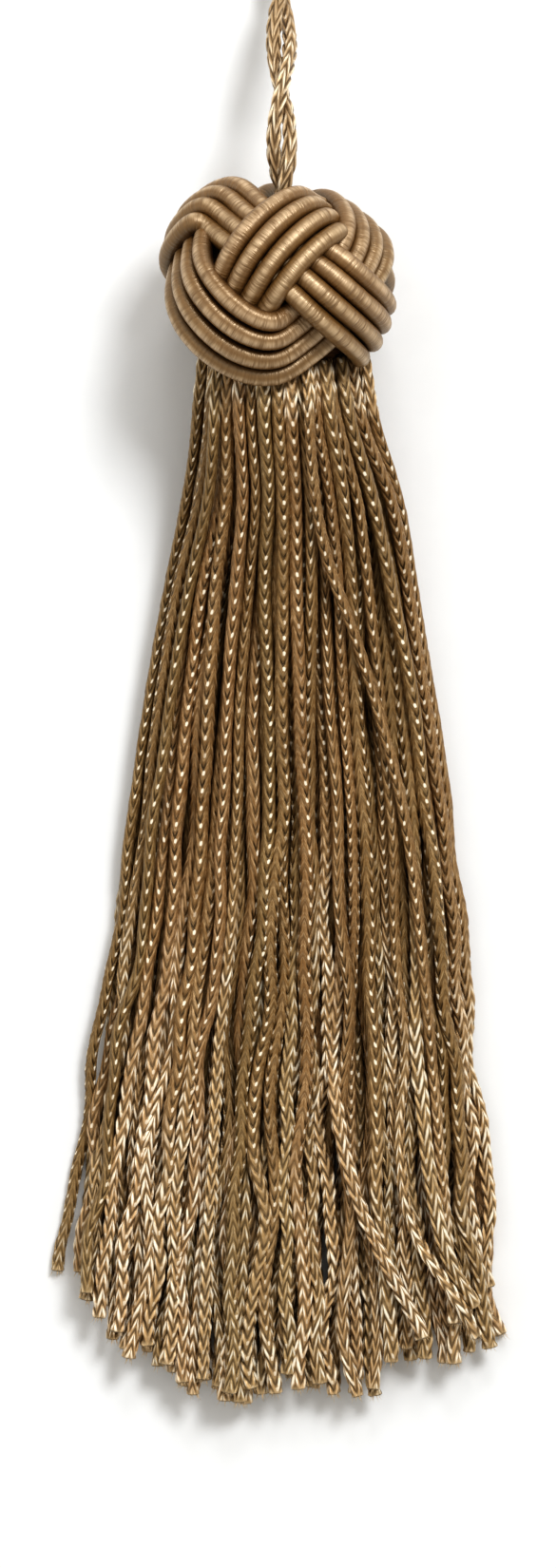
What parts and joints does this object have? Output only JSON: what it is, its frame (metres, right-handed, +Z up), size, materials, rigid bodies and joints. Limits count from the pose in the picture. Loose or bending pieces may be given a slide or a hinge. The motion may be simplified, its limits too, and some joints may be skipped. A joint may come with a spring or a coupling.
{
  "type": "silk tassel",
  "caption": "Key tassel with a ball knot of wrapped gimp cord, a skirt of knitted chainette strands and a twisted hanging loop, lying flat.",
  "frame": {"origin": "on the surface the tassel lies on, at the small flat spot under the head knot", "axes": "+Z up from the surface, +Y from the skirt through the head towards the hanging loop, +X across"},
  "size_m": [0.0476, 0.194, 0.0256],
  "materials": {
    "wrapped_gimp": "silk floss wound closely round a cord, satin along its length",
    "chainette": "knitted silk chain with a bright highlight on each stitch",
    "loop_silk": "lustrous plied silk cord"
  },
  "bodies": {
    "root": {"head_knot": "wrapped_gimp", "skirt": "chainette", "hanging_loop": "loop_silk"}
  },
  "joints": []
}
